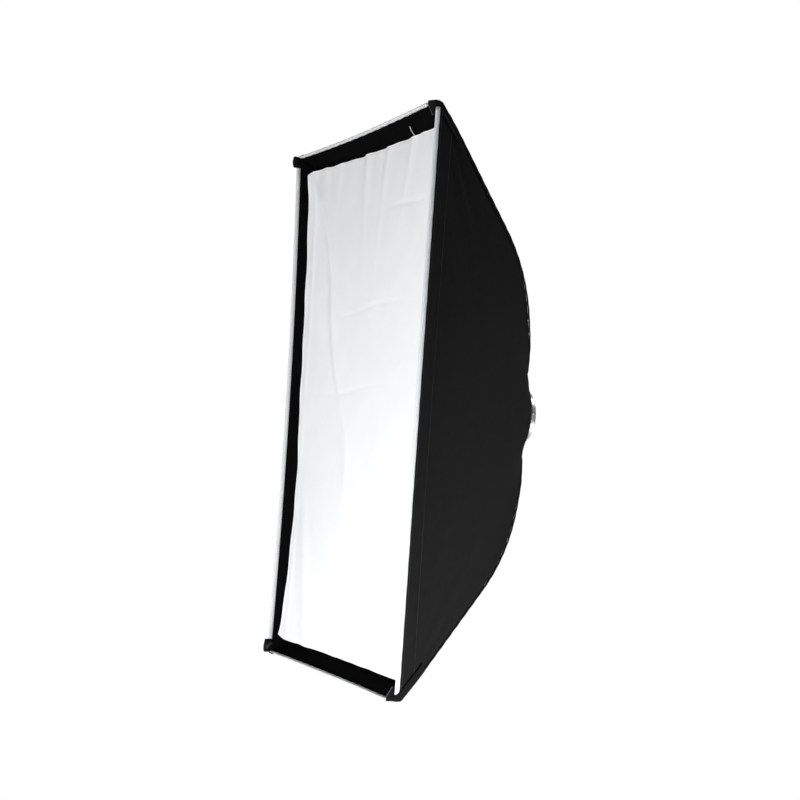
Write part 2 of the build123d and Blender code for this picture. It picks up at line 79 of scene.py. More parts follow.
# ---- Mesh helpers ----
def settle(point):
    """Where a point comes to rest: the frame is a little out of flat and the cloth is full round the ring."""
    x, y, z = point
    left = max(0.0, -x / HALF_WIDTH) ** 1.5
    near_front = min(1.0, max(0.0, (-0.10 - y) / 0.20))
    radius = math.hypot(x, z)
    drawn_in = math.exp(-(((HALF_WIDTH - x) / 0.028) ** 2)) * near_front ** 3 * (abs(z) / HALF_HEIGHT) ** 8
    fullness = math.exp(-(((radius - 0.125) / 0.040) ** 2)) * min(1.0, max(0.0, (y + 0.12) / 0.04))
    cuff_roll = math.exp(-(((radius - 0.090) / 0.020) ** 2)) * min(1.0, max(0.0, (y + 0.06) / 0.03))
    depth = y - TWIST * left * near_front * z / HALF_HEIGHT
    depth += FULL_ROUND_RING * fullness + CUFF_ROLL * cuff_roll
    return Vector((x, depth, z - math.copysign(CORNERS_DRAWN_IN, z) * drawn_in))


def finish_mesh(name, bm, material, smooth=True):
    """Turn a bmesh into a finished object at the origin."""
    for vert in bm.verts:
        vert.co = settle(vert.co)
    mesh = bpy.data.meshes.new(name)
    bm.to_mesh(mesh)
    bm.free()
    piece = bpy.data.objects.new(name, mesh)
    bpy.context.scene.collection.objects.link(piece)
    mesh.materials.append(material)
    if smooth:
        mesh.shade_smooth()
    return piece


def cloth_grid(points, name, material, outward=None):
    """Sheet through a grid of points, with a UV map in metres along its rows and columns."""
    rows, columns = points.shape[:2]
    bm = bmesh.new()
    uv = bm.loops.layers.uv.new("cloth")
    bmesh.ops.create_grid(bm, x_segments=columns - 1, y_segments=rows - 1, size=1)
    across = np.linalg.norm(np.diff(points, axis=1), axis=2).cumsum(axis=1)
    along = np.linalg.norm(np.diff(points, axis=0), axis=2).cumsum(axis=0)
    across = np.pad(across, ((0, 0), (1, 0)))
    along = np.pad(along, ((1, 0), (0, 0)))
    across -= across[:, columns // 2][:, None]
    place = {}
    for vert in bm.verts:
        column = round((vert.co.x + 1) / 2 * (columns - 1))
        row = round((vert.co.y + 1) / 2 * (rows - 1))
        place[vert] = (row, column)
    for face in bm.faces:
        for loop in face.loops:
            row, column = place[loop.vert]
            loop[uv].uv = (across[row, column], along[row, column])
    for vert, (row, column) in place.items():
        vert.co = points[row, column]
    bm.normal_update()
    if outward is not None:
        middle = sum((face.normal * face.calc_area() for face in bm.faces), Vector())
        if middle.dot(Vector(outward)) < 0:
            bmesh.ops.reverse_faces(bm, faces=bm.faces[:])
    return finish_mesh(name, bm, material)


def thicken(piece, thickness, offset=-1.0, inner=None):
    """Give a sheet its thickness, with another material on its inner side if named."""
    solid = piece.modifiers.new("thickness", "SOLIDIFY")
    solid.thickness = thickness
    solid.offset = offset
    if inner is not None:
        piece.data.materials.append(inner)
        solid.material_offset = 1
    return piece


def along_path(path, first, second, profile):
    """Rings of points: a flat profile set across each point of a path."""
    rings = []
    for point, a, b in zip(path, first, second):
        rings.append([point + np.array(a) * u + np.array(b) * v for u, v in profile])
    return np.array(rings)


def tube(name, rings, material, closed=False):
    """Closed skin over rings of points, round a loop or with its two ends capped."""
    rings = np.concatenate([rings, rings[:, :1]], axis=1)
    if closed:
        rings = np.concatenate([rings, rings[:1]], axis=0)
    piece = cloth_grid(rings, name, material)
    bm = bmesh.new()
    bm.from_mesh(piece.data)
    bmesh.ops.remove_doubles(bm, verts=bm.verts[:], dist=1e-6)
    bmesh.ops.holes_fill(bm, edges=[edge for edge in bm.edges if edge.is_boundary], sides=0)
    bmesh.ops.recalc_face_normals(bm, faces=bm.faces[:])
    bm.to_mesh(piece.data)
    bm.free()
    return piece


def thread_loop():
    """Mesh of one stitch: a small ball with six sides, to be stretched along the seam."""
    bm = bmesh.new()
    bmesh.ops.create_uvsphere(bm, u_segments=6, v_segments=4, radius=1)
    bmesh.ops.rotate(bm, verts=bm.verts[:], matrix=Matrix.Rotation(math.pi / 2, 3, "Y"))
    mesh = bpy.data.meshes.new("stitch")
    bm.to_mesh(mesh)
    bm.free()
    return mesh


STITCH = thread_loop()
STITCH_LIFT = 0.0002


def stitch_row(name, points, normals, material, pitch=0.004, length=0.0027, radius=0.00038):
    """Row of thread stitches lying on a surface, along a line of points."""
    points, normals = np.array(points), np.array(normals)
    gaps = np.linalg.norm(np.diff(points, axis=0), axis=1)
    lengths = np.concatenate([[0], gaps.cumsum()])
    bm = bmesh.new()
    for number in range(int(lengths[-1] // pitch)):
        centre_at = (number + 0.5) * pitch
        centre = Vector([np.interp(centre_at, lengths, points[:, i]) for i in range(3)])
        ahead = Vector([np.interp(centre_at + pitch / 2, lengths, points[:, i]) for i in range(3)])
        up = Vector([np.interp(centre_at, lengths, normals[:, i]) for i in range(3)]).normalized()
        run = (ahead - centre).normalized()
        side = up.cross(run).normalized()
        place = Matrix((run * length / 2, side * radius, up * radius)).transposed().to_4x4()
        place.translation = centre + up * STITCH_LIFT
        stitch = STITCH.copy()
        stitch.transform(place)
        bm.from_mesh(stitch)
        bpy.data.meshes.remove(stitch)
    return finish_mesh(name, bm, material)


# ---- Shape of the shell ----
def seam(distance, depth=0.0):
    """Radius and Y of a seam at a distance from its front end, at a depth below it."""
    if distance <= SEAM_STRAIGHT:
        radius = HALF_DIAGONAL - distance * math.cos(SEAM_LEAN) - depth * math.sin(SEAM_LEAN)
        return radius, SEAM_START_Y + distance * math.sin(SEAM_LEAN) - depth * math.cos(SEAM_LEAN)
    lean = SEAM_LEAN - (distance - SEAM_STRAIGHT) / SEAM_CURVE
    reach = SEAM_CURVE - depth
    return CENTRE_R + reach * math.sin(lean), CENTRE_Y + reach * math.cos(lean)


def seam_point(corner, distance, depth=0.0):
    """Point of a corner's seam in space."""
    side_x, side_z = CORNERS[corner]
    radius, y = seam(distance, depth)
    return np.array([side_x * radius * WIDTH_SHARE, y, side_z * radius * HEIGHT_SHARE])


def is_upright(side):
    """True for the two long panels."""
    return side in ("right", "left")


def sign_of(side):
    """Which way a side faces along its own axis."""
    return 1 if side in ("right", "top") else -1


def outward_of(side):
    """Unit vector that a side faces, without its lean."""
    return (sign_of(side), 0, 0) if is_upright(side) else (0, 0, sign_of(side))


def front_edge(side, step, y=SEAM_START_Y):
    """Bowed front edge of a panel, step running from -1 to 1."""
    slack = 1 - step * step
    if is_upright(side):
        return (
            sign_of(side) * (HALF_WIDTH - LONG_BOW * slack),
            y + LONG_SET_BACK * slack,
            step * HALF_HEIGHT,
        )
    return (
        step * HALF_WIDTH,
        y + SHORT_SET_BACK * slack,
        sign_of(side) * (HALF_HEIGHT - SHORT_BOW * slack),
    )


def cuff_edge(side, step):
    """Round edge of a panel at the speed ring."""
    radius, y = seam(SEAM_LENGTH)
    spread = DIAGONAL if is_upright(side) else math.pi / 2 - DIAGONAL
    along = sign_of(side) * radius * math.cos(step * spread)
    across = radius * math.sin(step * spread)
    return (along, y, across) if is_upright(side) else (across, y, along)


def seam_edge(side, share, end):
    """Long edge of a panel, which is the seam itself."""
    radius, y = seam(SEAM_LENGTH * share)
    x, z = radius * WIDTH_SHARE, radius * HEIGHT_SHARE
    if is_upright(side):
        return sign_of(side) * x, y, end * z
    return end * x, y, sign_of(side) * z


def stretch(grid, steps):
    """Relax the inside of a grid of points, as taut cloth does between fixed edges."""
    for _ in range(steps):
        around = grid[:-2, 1:-1] + grid[2:, 1:-1] + grid[1:-1, :-2] + grid[1:-1, 2:]
        grid[1:-1, 1:-1] = around / 4
    return grid


def panel_grid(side, rows, columns):
    """Points of one taut panel, front edge first."""
    steps = np.linspace(-1, 1, columns)
    grid = np.zeros((rows, columns, 3))
    for row in range(rows):
        left = np.array(seam_edge(side, row / (rows - 1), -1))
        right = np.array(seam_edge(side, row / (rows - 1), 1))
        grid[row] = left * (1 - steps[:, None]) / 2 + right * (1 + steps[:, None]) / 2
    grid[0] = [front_edge(side, step) for step in steps]
    grid[-1] = [cuff_edge(side, step) for step in steps]
    return grid


def finer(grid, rows, columns):
    """The same grid with more rows and columns."""
    old_rows, old_columns = np.linspace(0, 1, grid.shape[0]), np.linspace(0, 1, grid.shape[1])
    new_rows, new_columns = np.linspace(0, 1, rows), np.linspace(0, 1, columns)
    wide = [[np.interp(new_columns, old_columns, row[:, i]) for row in grid] for i in range(3)]
    wide = np.stack(wide, axis=2)
    tall = [[np.interp(new_rows, old_rows, wide[:, c, i]) for c in range(columns)] for i in range(3)]
    return np.array(tall).transpose(2, 1, 0)


def surface_normals(grid, outward):
    """Unit normals of a grid of points, on its outward side."""
    normals = np.cross(np.gradient(grid, axis=0), np.gradient(grid, axis=1))
    normals /= np.linalg.norm(normals, axis=2)[:, :, None] + 1e-12
    flip = np.sign((normals.mean(axis=(0, 1)) * np.array(outward)).sum())
    return normals * flip


def taut_panel(side, rows, columns):
    """Relaxed panel at full resolution."""
    coarse = stretch(panel_grid(side, 15, 13), 1500)
    fixed = panel_grid(side, rows, columns)
    grid = finer(coarse, rows, columns)
    grid[0], grid[-1], grid[:, 0], grid[:, -1] = fixed[0], fixed[-1], fixed[:, 0], fixed[:, -1]
    return stretch(grid, 700)


PANEL_ROWS = 84
PANEL_COLUMNS = {"right": 132, "left": 132, "top": 92, "bottom": 92}
PANELS = {side: taut_panel(side, PANEL_ROWS, PANEL_COLUMNS[side]) for side in SIDES}
OUTWARD = {side: surface_normals(PANELS[side], outward_of(side)) for side in SIDES}


def fan_folds(grid, corner, reach, height, folds, seed):
    """Folds that fan out from a corner of a panel and fade with distance."""
    offset = grid - corner
    distance = np.linalg.norm(offset, axis=2)
    edge = grid[0, grid.shape[1] // 2] - corner
    angle = np.arccos(np.clip((offset @ edge) / (distance * np.linalg.norm(edge) + 1e-9), -1, 1))
    rise = np.exp(-distance / reach) * (1 - np.exp(-distance / (reach * 0.18)))
    wave = np.sin(angle * folds + seed) + 0.5 * np.sin(angle * folds * 1.7 + seed * 2.3)
    return height * rise * wave


def wrinkled_panel(side):
    """Taut panel with fans of folds, seam puckers and gathers at the cuff."""
    grid = PANELS[side].copy()
    rows, columns = grid.shape[:2]
    share = np.linspace(0, 1, rows)[:, None]
    step = np.linspace(-1, 1, columns)[None, :]
    lift = fan_folds(grid, grid[0, 0], 0.15, 0.0032, 23, 1.0 + len(side))
    lift += fan_folds(grid, grid[0, -1], 0.18, 0.0040, 25, 2.4 + len(side))
    along = share * SEAM_LENGTH
    to_seam = np.minimum(
        np.linalg.norm(grid - grid[:, :1], axis=2), np.linalg.norm(grid - grid[:, -1:], axis=2)
    )
    pucker = np.sin(along / 0.0031 + 2 * np.sin(along / 0.021)) * np.exp(-to_seam / 0.010)
    lift += 0.0003 * pucker * (to_seam > 0)
    gather = np.sin(step * 21 + 1.5 * np.sin(step * 5)) * np.exp(-(1 - share) * SEAM_LENGTH / 0.035)
    lift += 0.0010 * gather
    lift += 0.0010 * np.sin(grid[:, :, 0] / 0.043 + grid[:, :, 2] / 0.071) * np.sin(share * math.pi)
    sewn_down = np.clip((along - 0.040) / 0.030, 0, 1)
    edge_fade = np.minimum(1, to_seam / 0.006) * sewn_down * np.minimum(1, (1 - share) * 30)
    return grid + OUTWARD[side] * (lift * edge_fade)[:, :, None]


def on_panel(side, row, column, depth=0.0):
    """Point on a panel at fractional grid places, at a depth inside its outer skin."""
    grid, normals = PANELS[side], OUTWARD[side]
    r0, c0 = min(int(row), grid.shape[0] - 2), min(int(column), grid.shape[1] - 2)
    fr, fc = row - r0, column - c0
    weights = ((r0, c0, (1 - fr) * (1 - fc)), (r0 + 1, c0, fr * (1 - fc)),
               (r0, c0 + 1, (1 - fr) * fc), (r0 + 1, c0 + 1, fr * fc))
    point = sum(grid[r, c] * w for r, c, w in weights)
    normal = sum(normals[r, c] * w for r, c, w in weights)
    return point - normal / np.linalg.norm(normal) * depth, normal / np.linalg.norm(normal)


def at_depth(side, step, y, inside):
    """Point inside a panel where it crosses a plane at y, step running from -1 to 1."""
    grid = PANELS[side]
    column = (step + 1) / 2 * (grid.shape[1] - 1)
    ys = [on_panel(side, row, column)[0][1] for row in range(14)]
    row = float(np.interp(y, ys, range(14)))
    return on_panel(side, row, column, inside)[0]


# ---- Finishes ----
def new_material(name, colour, roughness, metallic=0.0, sheen=0.0, sheen_roughness=0.4, specular=0.5):
    """Material with one shader, its constant values set on the shader itself."""
    material = bpy.data.materials.new(name)
    material.use_nodes = True
    shader = material.node_tree.nodes["Principled BSDF"]
    shader.inputs["Base Color"].default_value = (*colour, 1)
    shader.inputs["Roughness"].default_value = roughness
    shader.inputs["Metallic"].default_value = metallic
    shader.inputs["Sheen Weight"].default_value = sheen
    shader.inputs["Sheen Roughness"].default_value = sheen_roughness
    if metallic == 0:
        shader.inputs["Specular IOR Level"].default_value = specular
    return material


def shader_of(material):
    """The shader of a material."""
    return material.node_tree.nodes["Principled BSDF"]


def node(material, kind, links=(), **values):
    """Add a node to a material or the world, set its inputs or settings, and link sockets into it."""
    made = material.node_tree.nodes.new(kind)
    for key, value in values.items():
        title = key.replace("_", " ").title()
        if title in made.inputs:
            made.inputs[title].default_value = value
        else:
            setattr(made, key, value)
    for socket, source in links:
        material.node_tree.links.new(source, made.inputs[socket])
    return made


def cloth_place(material, turn=0.0):
    """The piece's own cloth map in metres, turned if asked."""
    uv = node(material, "ShaderNodeUVMap", uv_map="cloth")
    mapping = node(material, "ShaderNodeMapping", [("Vector", uv.outputs["UV"])])
    mapping.inputs["Rotation"].default_value = (0, 0, turn)
    return mapping.outputs["Vector"]


def object_place(material, stretch_by=(1, 1, 1)):
    """Object coordinates, stretched if asked."""
    place = node(material, "ShaderNodeTexCoord")
    mapping = node(material, "ShaderNodeMapping", [("Vector", place.outputs["Object"])])
    mapping.inputs["Scale"].default_value = stretch_by
    return mapping.outputs["Vector"]


def noise(material, place, size, detail=3.0):
    """Noise whose grains are about a size in metres across."""
    made = node(material, "ShaderNodeTexNoise", [("Vector", place)], scale=1 / size, detail=detail)
    return made.outputs["Fac"]


def ribs(material, place, pitch, direction):
    """Ribs at a pitch in metres, square to X or Y."""
    made = node(
        material, "ShaderNodeTexWave", [("Vector", place)],
        wave_type="BANDS", bands_direction=direction, scale=math.pi / 10 / pitch,
    )
    return made.outputs["Fac"]


def shade_between(material, source, dark, light, low=0.3, high=0.7, target="Base Color"):
    """Vary the shader's colour or roughness between two values."""
    ramp = node(material, "ShaderNodeValToRGB", [("Fac", source)])
    for element, place, value in zip(ramp.color_ramp.elements, (low, high), (dark, light)):
        element.position = place
        element.color = (*value, 1) if isinstance(value, tuple) else (value, value, value, 1)
    material.node_tree.links.new(ramp.outputs["Color"], shader_of(material).inputs[target])


def mixed(material, first, second, operation="ADD"):
    """Two patterns put together."""
    made = node(material, "ShaderNodeMath", operation=operation)
    material.node_tree.links.new(first, made.inputs[0])
    material.node_tree.links.new(second, made.inputs[1])
    return made.outputs["Value"]


def raise_by(material, height, depth, strength=1.0, after=None):
    """Bump of a depth in metres, over an earlier bump if there is one."""
    bump = node(material, "ShaderNodeBump", [("Height", height)], strength=strength, distance=depth)
    if after is not None:
        material.node_tree.links.new(after, bump.inputs["Normal"])
    material.node_tree.links.new(bump.outputs["Normal"], shader_of(material).inputs["Normal"])
    return bump.outputs["Normal"]


def woven(name, dark, light, pitch, depth, roughness, sheen, blotch=0.012, slub=0.35):
    """Plain-woven cloth: crossing threads, slightly uneven in shade."""
    material = new_material(name, light, roughness, sheen=sheen, specular=0.15)
    place = cloth_place(material)
    threads = mixed(material, ribs(material, place, pitch, "X"), ribs(material, place, pitch, "Y"))
    uneven = noise(material, place, blotch, detail=6.0)
    shade_between(material, uneven, dark, light)
    uneven_yarn = raise_by(material, noise(material, place, blotch / 3), 0.0004, slub)
    raise_by(material, threads, depth, 0.6, after=uneven_yarn)
    return material


def black_nylon():
    """Matt black nylon of the shell, with a soft sheen."""
    dark, light = (0.0038, 0.0038, 0.0040), (0.0060, 0.0060, 0.0063)
    return woven("black_nylon", dark, light, 0.0007, 0.00012, 0.8, 0.004)


def silver_lining():
    """Silver coating on the inside of the shell, finely crinkled."""
    material = new_material("silver_lining", (0.62, 0.62, 0.63), 0.38, metallic=0.85)
    place = cloth_place(material)
    crinkle = raise_by(material, noise(material, place, 0.006, detail=8.0), 0.0012, 0.7)
    threads = mixed(material, ribs(material, place, 0.0007, "X"), ribs(material, place, 0.0007, "Y"))
    raise_by(material, threads, 0.0001, 0.5, after=crinkle)
    shade_between(material, noise(material, place, 0.03), 0.3, 0.5, target="Roughness")
    return material


def grey_binding():
    """Light grey twill tape folded over the rim."""
    material = new_material("grey_binding", (0.66, 0.68, 0.70), 0.62, sheen=0.25)
    place = cloth_place(material, math.radians(38))
    twill = ribs(material, place, 0.0016, "X")
    shade_between(material, twill, (0.44, 0.46, 0.48), (0.74, 0.76, 0.78), 0.05, 0.6)
    raise_by(material, twill, 0.0003, 0.8)
    return material


def black_loop_tape():
    """Soft black pile of the loop tape."""
    material = new_material("black_loop_tape", (0.0025, 0.0025, 0.0025), 0.95, specular=0.02)
    place = cloth_place(material)
    pile = noise(material, place, 0.0016, detail=5.0)
    shade_between(material, pile, (0.0010, 0.0010, 0.0010), (0.0035, 0.0035, 0.0035), 0.35, 0.7)
    raise_by(material, pile, 0.0008, 0.9)
    return material


def black_webbing():
    """Ribbed black webbing."""
    material = new_material("black_webbing", (0.0045, 0.0045, 0.0048), 0.85, sheen=0.01, specular=0.08)
    place = cloth_place(material)
    weave = mixed(material, ribs(material, place, 0.0016, "X"), ribs(material, place, 0.0007, "Y"))
    shade_between(material, weave, (0.0025, 0.0025, 0.0025), (0.0060, 0.0060, 0.0063), 0.3, 1.0)
    raise_by(material, weave, 0.0003, 0.8)
    return material


def white_diffusion():
    """Matt white diffusion cloth, very slightly uneven."""
    dark, light = (0.84, 0.85, 0.86), (0.87, 0.88, 0.885)
    return woven("white_diffusion", dark, light, 0.0006, 0.00008, 0.9, 0.0, blotch=0.05, slub=0.06)


def white_hem():
    """Bright rolled hem of the diffusion cloth."""
    return woven("white_hem", (0.93, 0.935, 0.94), (0.97, 0.97, 0.97), 0.0007, 0.00012, 0.8, 0.1)


def white_elastic():
    """Ribbed white elastic."""
    material = new_material("white_elastic", (0.82, 0.82, 0.80), 0.75, sheen=0.2)
    place = cloth_place(material)
    cords = ribs(material, place, 0.0012, "X")
    shade_between(material, cords, (0.62, 0.62, 0.60), (0.86, 0.86, 0.84), 0.1, 0.7)
    raise_by(material, cords, 0.0003, 0.7)
    return material


def thread(name, colour):
    """Twisted sewing thread."""
    material = new_material(name, colour, 0.55, sheen=0.3)
    place = object_place(material)
    raise_by(material, noise(material, place, 0.0006), 0.0002, 0.6)
    lighter = tuple(min(1.0, part * 1.25) for part in colour)
    shade_between(material, noise(material, place, 0.003), colour, lighter)
    return material


def moulded(name, colour, roughness):
    """Moulded rubber or plastic with a fine spark-eroded grain."""
    material = new_material(name, colour, roughness)
    place = object_place(material)
    raise_by(material, noise(material, place, 0.0008), 0.00008, 0.5)
    lighter = tuple(part * 1.35 for part in colour)
    shade_between(material, noise(material, place, 0.006), colour, lighter)
    return material


def powder_coat():
    """Fine textured black powder coat."""
    material = new_material("black_painted_metal", (0.014, 0.014, 0.015), 0.5)
    shader_of(material).inputs["Coat Weight"].default_value = 0.15
    place = object_place(material)
    grain = noise(material, place, 0.0009, detail=2.0)
    raise_by(material, grain, 0.00015, 0.7)
    shade_between(material, grain, 0.42, 0.62, target="Roughness")
    shade_between(material, noise(material, place, 0.02), (0.011, 0.011, 0.012), (0.018, 0.018, 0.019))
    return material


def turned_metal(name, colour, roughness, pitch=0.0006):
    """Metal turned in a lathe, with fine rings round the Y axis."""
    material = new_material(name, colour, roughness, metallic=1.0)
    shader_of(material).inputs["Anisotropic"].default_value = 0.55
    place = object_place(material)
    rings = ribs(material, place, pitch, "Y")
    raise_by(material, rings, 0.00003, 0.5)
    darker = tuple(part * 0.9 for part in colour)
    shade_between(material, noise(material, place, 0.012, detail=5.0), darker, colour)
    scuffed = noise(material, object_place(material, (1, 9, 1)), 0.004, detail=6.0)
    shade_between(material, scuffed, roughness * 0.8, roughness * 1.35, target="Roughness")
    return material


def drawn_steel(name, colour, roughness):
    """Drawn or plated steel, with faint scratches."""
    material = new_material(name, colour, roughness, metallic=1.0)
    place = object_place(material)
    raise_by(material, noise(material, place, 0.0011, detail=8.0), 0.00003, 0.5)
    darker = tuple(part * 0.8 for part in colour)
    shade_between(material, noise(material, place, 0.007), darker, colour)
    return material


def natural_nylon():
    """Waxy natural nylon."""
    material = moulded("nylon_washer", (0.72, 0.71, 0.66), 0.35)
    shader_of(material).inputs["Subsurface Weight"].default_value = 0.2
    shader_of(material).inputs["Subsurface Radius"].default_value = (0.003, 0.003, 0.002)
    return material


NYLON = black_nylon()
LINING = silver_lining()
BINDING = grey_binding()
LOOP_TAPE = black_loop_tape()
WEBBING = black_webbing()
DIFFUSION = white_diffusion()
HEM = white_hem()
ELASTIC = white_elastic()
GREY_THREAD = thread("grey_thread", (0.26, 0.27, 0.28))
WHITE_THREAD = thread("white_thread", (0.80, 0.80, 0.80))
BLACK_THREAD = thread("black_thread", (0.010, 0.010, 0.011))
# Lighter grey line on the edge of the right pocket caps: a painted highlight where the webbing's cut edge
# catches the light.
SELVAGE_HIGHLIGHT = thread("selvage_painted_highlight", (0.045, 0.045, 0.048))


def fit(piece, body, slot, *nodes):
    """Set a piece on its body and hide the CAD nodes it stands for; the slot is not used."""
    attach(piece, body)
    if nodes:
        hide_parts(*nodes)
    return piece


def shell_panel(side):
    """One wrinkled side of the shell: black outside, silver inside."""
    piece = cloth_grid(wrinkled_panel(side), f"{side}_panel_cloth", NYLON, outward_of(side))
    thicken(piece, FABRIC, -1, LINING)
    fit(piece, "softbox", "black_nylon", f"{side}_panel")
    return piece


TAPE_ENDS = {
    "right": (0.010, 0.010),
    "left": (0.010, 0.010),
    "top": (0.010, 0.044),
    "bottom": (0.014, 0.028),
}


def tape_steps(side, count):
    """Steps along a rim tape, from one of its ends to the other."""
    half = HALF_HEIGHT if is_upright(side) else HALF_WIDTH
    first, last = TAPE_ENDS[side]
    return np.linspace(-1 + first / half, 1 - last / half, count)


def rim_line(side, steps, y, outward=0.0):
    """Points along the rim, at a Y and a distance outside the panel's face."""
    normal = np.array(outward_of(side))
    return np.array([np.array(front_edge(side, step, y)) + normal * outward for step in steps])


def rim_tape(side):
    """Twill tape folded over the front edge, crowned where it is sewn down."""
    steps = tape_steps(side, 120)
    path = rim_line(side, steps, RIM_Y)
    normal = np.array(outward_of(side))
    outer, inner, end = 0.0012, -0.0024, TAPE_WIDTH
    crown = ((0.0004, 1), (0, 0.93), (0.0003, 0.78), (-0.0003, 0.55), (0, 0.28), (0.0005, 0.10))
    profile = [(outer - dip, end * share) for dip, share in crown]
    profile.append(((outer + inner) / 2, 0))
    profile += [(inner + dip * turned, end * share) for dip, share, turned in zip(
        (0.0005, 0, 0.0003, 0.0003, 0, 0.0004), (0.10, 0.28, 0.55, 0.78, 0.93, 1), (1, 1, -1, 1, 1, 1)
    )]
    depth = np.array([0, 1, 0])
    ripple = 0.00025 * np.sin(steps * 61) + 0.00015 * np.sin(steps * 143)
    path += normal * ripple[:, None]
    piece = tube(f"{side}_rim_binding", along_path(path, [normal] * 120, [depth] * 120, profile), BINDING)
    return fit(piece, "softbox", "grey_binding", f"{side}_rim_tape")


def rim_stitches(side):
    """Thread along both faces of a rim tape."""
    steps = tape_steps(side, 60)
    normal = np.array(outward_of(side))
    for face, offset, facing in (("outer", 0.0010, 1), ("inner", -0.0022, -1)):
        line = rim_line(side, steps, RIM_Y + TAPE_WIDTH * 0.78, offset)
        title = f"{side}_rim_{face}_stitches"
        piece = stitch_row(title, line, [normal * facing] * 60, GREY_THREAD, pitch=0.0052, length=0.0036)
        fit(piece, "softbox", "grey_binding")


def panel_line(side, behind_rim, depth, margin, count=90):
    """Line across a panel at a distance behind its front edge, with its outward normals."""
    rows, columns = PANELS[side].shape[:2]
    row = behind_rim / SEAM_LENGTH * (rows - 1)
    places = np.linspace(margin * (columns - 1), (1 - margin) * (columns - 1), count)
    found = [on_panel(side, row, column, depth) for column in places]
    return np.array([point for point, _ in found]), np.array([normal for _, normal in found])


BAND_REAR = 0.046


def loop_band(side):
    """Loop tape sewn inside a panel, all along its front edge."""
    rows = []
    for behind in np.linspace(0.0005, BAND_REAR, 8):
        margin = 0.002 + 0.25 * behind * (0.010 if is_upright(side) else 0.016) / 0.04
        rows.append(panel_line(side, behind, FABRIC + 0.0004, margin, 150)[0])
    piece = cloth_grid(np.array(rows), f"{side}_loop_band", LOOP_TAPE, outward_of(side))
    thicken(piece, 0.0011, -1)
    return fit(piece, "softbox", "black_loop_tape", f"{side}_hook_band")


def band_stitches(side):
    """Two rows of black thread that hold the loop tape, seen on the outside."""
    for name, behind in (("front", 0.0052), ("rear", BAND_REAR - 0.0025)):
        points, normals = panel_line(side, behind, -0.0003, 0.012, 150)
        title = f"{side}_band_{name}_stitches"
        piece = stitch_row(title, points, normals, BLACK_THREAD, pitch=0.0036, radius=0.0003)
        fit(piece, "softbox", "black_nylon")


def seam_frame(corner, distance):
    """Direction of a seam and its outward direction, at a distance from its front end."""
    ahead = seam_point(corner, distance + 0.001) - seam_point(corner, distance - 0.001)
    ahead /= np.linalg.norm(ahead)
    side_x, side_z = CORNERS[corner]
    across = np.cross(ahead, [side_x * WIDTH_SHARE, 0, side_z * HEIGHT_SHARE])
    across /= np.linalg.norm(across)
    out = np.cross(across, ahead)
    return ahead, out / np.linalg.norm(out), across


def round_profile(radius, count=12):
    """Points round a circle."""
    angles = np.linspace(0, math.tau, count, endpoint=False)
    return [(radius * math.cos(a), radius * math.sin(a)) for a in angles]


def seam_ridge(corner):
    """Sewn ridge where two panels meet, from the corner pocket to the ring."""
    distances = np.linspace(0.030, SEAM_LENGTH - 0.001, 150)
    frames = [seam_frame(corner, d) for d in distances]
    path = []
    for distance, (_, out, _) in zip(distances, frames):
        path.append(seam_point(corner, distance) + out * (0.0006 + 0.0002 * math.sin(distance / 0.004)))
    outs, acrosses = [out for _, out, _ in frames], [across for _, _, across in frames]
    rings = along_path(path, outs, acrosses, round_profile(0.0017))
    return fit(tube(f"{corner}_seam_ridge", rings, NYLON), "softbox", "black_nylon")


# ---- Corner pockets ----
# Front outline of each pocket, in metres inwards from the frame's corner: along X, then along Z.
CAP_OUTLINES = {
    "upper_right": [
        (0.0290, -0.0030), (0.0275, 0.0025), (0.0065, 0.0225), (0.0040, 0.0240), (0.0030, 0.0130),
        (0.0028, 0.0065), (-0.0018, 0.0060), (-0.0022, 0.0020), (-0.0010, -0.0010), (0.0018, -0.0020),
    ],
    "upper_left": [
        (0.0050, -0.0010), (-0.0010, 0.0000), (-0.0048, 0.0075), (-0.0044, 0.0110), (0.0012, 0.0200),
        (0.0046, 0.0205), (0.0068, 0.0080),
    ],
    "lower_right": [
        (0.0290, -0.0020), (0.0275, 0.0040), (0.0065, 0.0225), (0.0040, 0.0240), (0.0030, 0.0130),
        (0.0028, 0.0085), (-0.0018, 0.0080), (-0.0022, 0.0040), (-0.0012, 0.0016), (0.0024, 0.0002),
        (0.0140, -0.0016),
    ],
    "lower_left": [
        (0.0065, 0.0004), (0.0010, -0.0012), (-0.0034, 0.0010), (-0.0050, 0.0065), (-0.0042, 0.0115),
        (0.0010, 0.0225), (0.0046, 0.0240), (0.0070, 0.0120),
    ],
}
POCKET_LENGTH = 0.076
SIDE_WING, END_WING = 0.0125, 0.034


def pocket_axes(corner):
    """Along the seam, then wing directions and outward normals on the long and the short panel."""
    side_x, side_z = CORNERS[corner]
    ahead = seam_frame(corner, 0.02)[0]
    wings, normals = [], []
    for inward, outward in (((0, 0, -side_z), (side_x, 0, 0)), ((-side_x, 0, 0), (0, 0, side_z))):
        wing = np.array(inward, dtype=float)
        wing -= ahead * wing.dot(ahead)
        wing /= np.linalg.norm(wing)
        normal = np.cross(ahead, wing)
        wings.append(wing)
        normals.append(normal * np.sign(normal.dot(outward)) / np.linalg.norm(normal))
    return ahead, wings, normals


def over_rim(point):
    """The same point, laid flat on the rim tape where it would stand out past it."""
    limits = (HALF_WIDTH - 0.0008, HALF_HEIGHT - 0.0010)
    return np.array([
        math.copysign(min(abs(point[0]), limits[0]), point[0]), point[1],
        math.copysign(min(abs(point[2]), limits[1]), point[2]),
    ])


